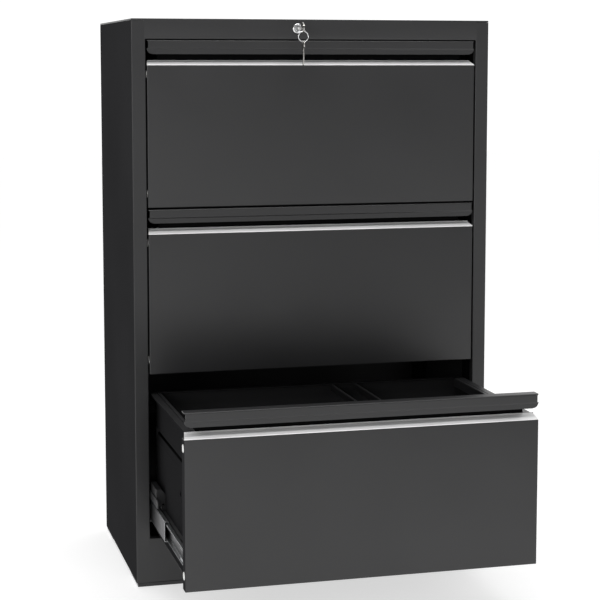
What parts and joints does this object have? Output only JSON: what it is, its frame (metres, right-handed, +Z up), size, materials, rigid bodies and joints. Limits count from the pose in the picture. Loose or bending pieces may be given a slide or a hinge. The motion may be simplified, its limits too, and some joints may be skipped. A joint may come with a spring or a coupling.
{
  "type": "filing cabinet",
  "caption": "Lateral steel filing cabinet with full-width pulls, ball-bearing drawer slides and a central key lock; the lowest drawer stands open.",
  "frame": {"origin": "centre of the cabinet's base on the floor, drawers not counted", "axes": "+X to the right seen from the front, -Y out of the front, +Z up"},
  "size_m": [0.668, 0.716, 1.026],
  "materials": {
    "charcoal_paint": "satin powder coat",
    "silver_strip": "satin anodised",
    "slide_steel": "zinc plated",
    "lock_chrome": "polished",
    "key_steel": "nickel plated",
    "black_plastic": "matt",
    "foot_plastic": "matt",
    "white_plastic": "gloss",
    "bumper_rubber": "matt"
  },
  "bodies": {
    "cabinet": {"left_side_panel": "charcoal_paint", "right_side_panel": "charcoal_paint", "top_panel": "charcoal_paint", "back_panel": "charcoal_paint", "bottom_panel": "charcoal_paint", "top_rail": "charcoal_paint", "kick_rail": "charcoal_paint", "slide_posts": "charcoal_paint", "outer_slides": "slide_steel", "corner_plates": "charcoal_paint", "feet": "foot_plastic", "back_bumpers": "bumper_rubber", "lock_housing": "lock_chrome", "lock_nut": "slide_steel"},
    "lock_plug": {"lock_plug": "key_steel", "lock_cam": "slide_steel"},
    "lock_link": {"lock_link": "slide_steel"},
    "lock_bar": {"lock_bar": "slide_steel"},
    "key": {"key": "key_steel"},
    "key_ring": {"key_ring": "lock_chrome"},
    "spare_key": {"spare_key": "key_steel"},
    "top_drawer": {"top_drawer_front_panel": "charcoal_paint", "top_drawer_inner_front": "charcoal_paint", "top_drawer_handle_lip": "charcoal_paint", "top_drawer_handle_strip": "silver_strip", "top_drawer_left_side": "charcoal_paint", "top_drawer_right_side": "charcoal_paint", "top_drawer_back": "charcoal_paint", "top_drawer_bottom": "charcoal_paint", "top_drawer_hanging_rails": "charcoal_paint", "top_drawer_inner_slides": "slide_steel", "top_drawer_plugs": "white_plastic", "top_drawer_striker": "black_plastic"},
    "top_drawer_mid": {"top_drawer_mid_slides": "slide_steel"},
    "middle_drawer": {"middle_drawer_front_panel": "charcoal_paint", "middle_drawer_inner_front": "charcoal_paint", "middle_drawer_handle_lip": "charcoal_paint", "middle_drawer_handle_strip": "silver_strip", "middle_drawer_left_side": "charcoal_paint", "middle_drawer_right_side": "charcoal_paint", "middle_drawer_back": "charcoal_paint", "middle_drawer_bottom": "charcoal_paint", "middle_drawer_hanging_rails": "charcoal_paint", "middle_drawer_inner_slides": "slide_steel", "middle_drawer_plugs": "white_plastic", "middle_drawer_striker": "black_plastic"},
    "middle_drawer_mid": {"middle_drawer_mid_slides": "slide_steel"},
    "bottom_drawer": {"bottom_drawer_front_panel": "charcoal_paint", "bottom_drawer_inner_front": "charcoal_paint", "bottom_drawer_handle_lip": "charcoal_paint", "bottom_drawer_handle_strip": "silver_strip", "bottom_drawer_left_side": "charcoal_paint", "bottom_drawer_right_side": "charcoal_paint", "bottom_drawer_back": "charcoal_paint", "bottom_drawer_bottom": "charcoal_paint", "bottom_drawer_hanging_rails": "charcoal_paint", "bottom_drawer_inner_slides": "slide_steel", "bottom_drawer_plugs": "white_plastic", "bottom_drawer_striker": "black_plastic"},
    "bottom_drawer_mid": {"bottom_drawer_mid_slides": "slide_steel"}
  },
  "joints": [
    {"name": "top_drawer_slide", "type": "slide", "parent": "cabinet", "child": "top_drawer", "axis": [0, -1, 0], "range_m": [0, 0.35]},
    {"name": "top_drawer_mid_slide", "type": "slide", "parent": "cabinet", "child": "top_drawer_mid", "axis": [0, -1, 0], "range_m": [0, 0.175]},
    {"name": "middle_drawer_slide", "type": "slide", "parent": "cabinet", "child": "middle_drawer", "axis": [0, -1, 0], "range_m": [0, 0.35]},
    {"name": "middle_drawer_mid_slide", "type": "slide", "parent": "cabinet", "child": "middle_drawer_mid", "axis": [0, -1, 0], "range_m": [0, 0.175]},
    {"name": "bottom_drawer_slide", "type": "slide", "parent": "cabinet", "child": "bottom_drawer", "axis": [0, -1, 0], "range_m": [-0.326, 0.024]},
    {"name": "bottom_drawer_mid_slide", "type": "slide", "parent": "cabinet", "child": "bottom_drawer_mid", "axis": [0, -1, 0], "range_m": [-0.163, 0.012]},
    {"name": "bar_slide", "type": "slide", "parent": "cabinet", "child": "lock_bar", "axis": [0, 0, 1], "range_m": [0, 0.0169]},
    {"name": "link_slide", "type": "slide", "parent": "cabinet", "child": "lock_link", "axis": [1, 0, 0], "range_m": [0, 0.017]},
    {"name": "lock_turn", "type": "hinge", "parent": "cabinet", "child": "lock_plug", "pos_m": [-0.0323, -0.195, 1.0097], "axis": [0, -1, 0], "range_deg": [0, 90]},
    {"name": "key_pull", "type": "slide", "parent": "lock_plug", "child": "key", "axis": [0, -1, 0], "range_m": [0, 0.036]},
    {"name": "ring_swing", "type": "hinge", "parent": "key", "child": "key_ring", "pos_m": [-0.0323, -0.2355, 1.0052], "axis": [1, 0, 0], "range_deg": [-40, 20]},
    {"name": "spare_swing", "type": "hinge", "parent": "key_ring", "child": "spare_key", "pos_m": [-0.0323, -0.2355, 0.9843], "axis": [1, 0, 0], "range_deg": [-25, 10]}
  ],
  "couplings": [
    {"joint": "top_drawer_mid_slide", "follows": "top_drawer_slide", "ratio": 0.5},
    {"joint": "middle_drawer_mid_slide", "follows": "middle_drawer_slide", "ratio": 0.5},
    {"joint": "bottom_drawer_mid_slide", "follows": "bottom_drawer_slide", "ratio": 0.5},
    {"joint": "lock_turn", "follows": "bar_slide", "rad_per_m": 92.56},
    {"joint": "link_slide", "follows": "bar_slide", "ratio": 1}
  ]
}
